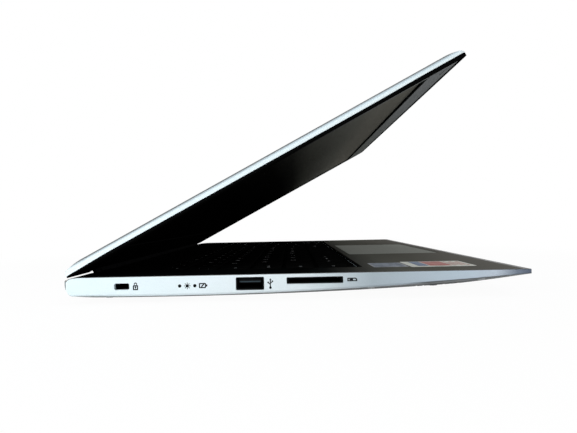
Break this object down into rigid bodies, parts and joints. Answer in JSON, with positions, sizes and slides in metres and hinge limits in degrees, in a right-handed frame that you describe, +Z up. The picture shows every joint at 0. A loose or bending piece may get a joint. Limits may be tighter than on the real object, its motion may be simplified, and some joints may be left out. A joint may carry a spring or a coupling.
{
  "type": "laptop computer",
  "caption": "Slim wedge-shaped clamshell laptop computer with a hinged screen, full keyboard, touchpad, side ports, cooling fan and battery.",
  "frame": {"origin": "centre of the footprint, on the table under the feet", "axes": "+X to the user's right, +Y away from the user towards the hinge, +Z up"},
  "size_m": [0.326, 0.2295, 0.1204],
  "materials": {
    "painted_silver": "satin silver paint",
    "base_plastic": "fine grain",
    "deck": "brushed, dark warm grey",
    "grey_plastic": "fine texture",
    "black_plastic": "satin",
    "key_black": "fine satin",
    "pad": "smooth",
    "screen": "glossy, switched off",
    "rubber": "matt",
    "steel": "plain",
    "port_metal": "bright",
    "board": "solder mask",
    "copper": "copper",
    "clear": "clear"
  },
  "bodies": {
    "base": {"bottom_cover": "base_plastic", "side_frame": "painted_silver", "deck_plate": "deck", "keyboard_frame": "black_plastic", "keyboard_plate": "steel", "rubber_feet": "rubber", "bottom_screws": "steel", "hinge_brackets": "steel", "hinge_screws": "steel", "motherboard": "board", "io_board": "board", "fan_housing": "black_plastic", "heat_sink": "copper", "battery_pack": "black_plastic", "solid_state_drive": "board", "memory_module": "board", "wireless_card": "board", "speakers": "black_plastic", "usb_port_left": "port_metal", "card_reader": "port_metal", "usb_port_right": "port_metal", "usb_c_port": "port_metal", "hdmi_port": "port_metal", "audio_jack": "black_plastic", "power_jack": "black_plastic", "light_pipes": "clear"},
    "lid": {"lid_cover": "painted_silver", "hinge_arms": "steel", "hinge_cover": "black_plastic", "screen_bezel": "grey_plastic", "display_panel": "screen", "lid_bumpers": "rubber", "camera_module": "black_plastic", "lid_screws": "steel"},
    "fan": {"fan_impeller": "black_plastic"},
    "touchpad_body": {"touchpad": "pad"},
    "key_escape_body": {"key_escape": "key_black"},
    "keys_function_row_body": {"keys_function_row": "key_black"},
    "power_button_body": {"power_button": "key_black"},
    "keys_number_row_body": {"keys_number_row": "key_black"},
    "key_backspace_body": {"key_backspace": "key_black"},
    "key_tab_body": {"key_tab": "key_black"},
    "keys_upper_row_body": {"keys_upper_row": "key_black"},
    "key_caps_lock_body": {"key_caps_lock": "key_black"},
    "keys_home_row_body": {"keys_home_row": "key_black"},
    "key_enter_body": {"key_enter": "key_black"},
    "key_shift_left_body": {"key_shift_left": "key_black"},
    "keys_lower_row_body": {"keys_lower_row": "key_black"},
    "key_shift_right_body": {"key_shift_right": "key_black"},
    "key_ctrl_left_body": {"key_ctrl_left": "key_black"},
    "key_fn_body": {"key_fn": "key_black"},
    "key_menu_body": {"key_menu": "key_black"},
    "key_alt_left_body": {"key_alt_left": "key_black"},
    "key_space_body": {"key_space": "key_black"},
    "key_alt_right_body": {"key_alt_right": "key_black"},
    "key_ctrl_right_body": {"key_ctrl_right": "key_black"},
    "key_arrow_left_body": {"key_arrow_left": "key_black"},
    "key_arrow_up_body": {"key_arrow_up": "key_black"},
    "key_arrow_down_body": {"key_arrow_down": "key_black"},
    "key_arrow_right_body": {"key_arrow_right": "key_black"}
  },
  "joints": [
    {"name": "lid_hinge", "type": "hinge", "parent": "base", "child": "lid", "pos_m": [0, 0.11085, 0.008], "axis": [-1, 0, 0], "range_deg": [-28, 107]},
    {"name": "fan_spin", "type": "hinge", "parent": "base", "child": "fan", "pos_m": [-0.0908, 0.07145, 0.006], "axis": [0, 0, 1], "continuous": true},
    {"name": "touchpad_click", "type": "hinge", "parent": "base", "child": "touchpad_body", "pos_m": [0.003, -0.0402, 0.0125], "axis": [1, 0, 0], "range_deg": [0, 0.35], "stiffness_Nm_per_rad": 15},
    {"name": "key_escape_press", "type": "slide", "parent": "base", "child": "key_escape_body", "axis": [0, 0, -1], "range_m": [0, 0.0013], "stiffness_N_per_m": 400},
    {"name": "keys_function_row_press", "type": "slide", "parent": "base", "child": "keys_function_row_body", "axis": [0, 0, -1], "range_m": [0, 0.0013], "stiffness_N_per_m": 5200},
    {"name": "power_button_press", "type": "slide", "parent": "base", "child": "power_button_body", "axis": [0, 0, -1], "range_m": [0, 0.0013], "stiffness_N_per_m": 400},
    {"name": "keys_number_row_press", "type": "slide", "parent": "base", "child": "keys_number_row_body", "axis": [0, 0, -1], "range_m": [0, 0.0013], "stiffness_N_per_m": 5200},
    {"name": "key_backspace_press", "type": "slide", "parent": "base", "child": "key_backspace_body", "axis": [0, 0, -1], "range_m": [0, 0.0013], "stiffness_N_per_m": 400},
    {"name": "key_tab_press", "type": "slide", "parent": "base", "child": "key_tab_body", "axis": [0, 0, -1], "range_m": [0, 0.0013], "stiffness_N_per_m": 400},
    {"name": "keys_upper_row_press", "type": "slide", "parent": "base", "child": "keys_upper_row_body", "axis": [0, 0, -1], "range_m": [0, 0.0013], "stiffness_N_per_m": 5200},
    {"name": "key_caps_lock_press", "type": "slide", "parent": "base", "child": "key_caps_lock_body", "axis": [0, 0, -1], "range_m": [0, 0.0013], "stiffness_N_per_m": 400},
    {"name": "keys_home_row_press", "type": "slide", "parent": "base", "child": "keys_home_row_body", "axis": [0, 0, -1], "range_m": [0, 0.0013], "stiffness_N_per_m": 4400},
    {"name": "key_enter_press", "type": "slide", "parent": "base", "child": "key_enter_body", "axis": [0, 0, -1], "range_m": [0, 0.0013], "stiffness_N_per_m": 400},
    {"name": "key_shift_left_press", "type": "slide", "parent": "base", "child": "key_shift_left_body", "axis": [0, 0, -1], "range_m": [0, 0.0013], "stiffness_N_per_m": 400},
    {"name": "keys_lower_row_press", "type": "slide", "parent": "base", "child": "keys_lower_row_body", "axis": [0, 0, -1], "range_m": [0, 0.0013], "stiffness_N_per_m": 4000},
    {"name": "key_shift_right_press", "type": "slide", "parent": "base", "child": "key_shift_right_body", "axis": [0, 0, -1], "range_m": [0, 0.0013], "stiffness_N_per_m": 400},
    {"name": "key_ctrl_left_press", "type": "slide", "parent": "base", "child": "key_ctrl_left_body", "axis": [0, 0, -1], "range_m": [0, 0.0013], "stiffness_N_per_m": 400},
    {"name": "key_fn_press", "type": "slide", "parent": "base", "child": "key_fn_body", "axis": [0, 0, -1], "range_m": [0, 0.0013], "stiffness_N_per_m": 400},
    {"name": "key_menu_press", "type": "slide", "parent": "base", "child": "key_menu_body", "axis": [0, 0, -1], "range_m": [0, 0.0013], "stiffness_N_per_m": 400},
    {"name": "key_alt_left_press", "type": "slide", "parent": "base", "child": "key_alt_left_body", "axis": [0, 0, -1], "range_m": [0, 0.0013], "stiffness_N_per_m": 400},
    {"name": "key_space_press", "type": "slide", "parent": "base", "child": "key_space_body", "axis": [0, 0, -1], "range_m": [0, 0.0013], "stiffness_N_per_m": 400},
    {"name": "key_alt_right_press", "type": "slide", "parent": "base", "child": "key_alt_right_body", "axis": [0, 0, -1], "range_m": [0, 0.0013], "stiffness_N_per_m": 400},
    {"name": "key_ctrl_right_press", "type": "slide", "parent": "base", "child": "key_ctrl_right_body", "axis": [0, 0, -1], "range_m": [0, 0.0013], "stiffness_N_per_m": 400},
    {"name": "key_arrow_left_press", "type": "slide", "parent": "base", "child": "key_arrow_left_body", "axis": [0, 0, -1], "range_m": [0, 0.0013], "stiffness_N_per_m": 400},
    {"name": "key_arrow_up_press", "type": "slide", "parent": "base", "child": "key_arrow_up_body", "axis": [0, 0, -1], "range_m": [0, 0.0013], "stiffness_N_per_m": 400},
    {"name": "key_arrow_down_press", "type": "slide", "parent": "base", "child": "key_arrow_down_body", "axis": [0, 0, -1], "range_m": [0, 0.0013], "stiffness_N_per_m": 400},
    {"name": "key_arrow_right_press", "type": "slide", "parent": "base", "child": "key_arrow_right_body", "axis": [0, 0, -1], "range_m": [0, 0.0013], "stiffness_N_per_m": 400}
  ]
}
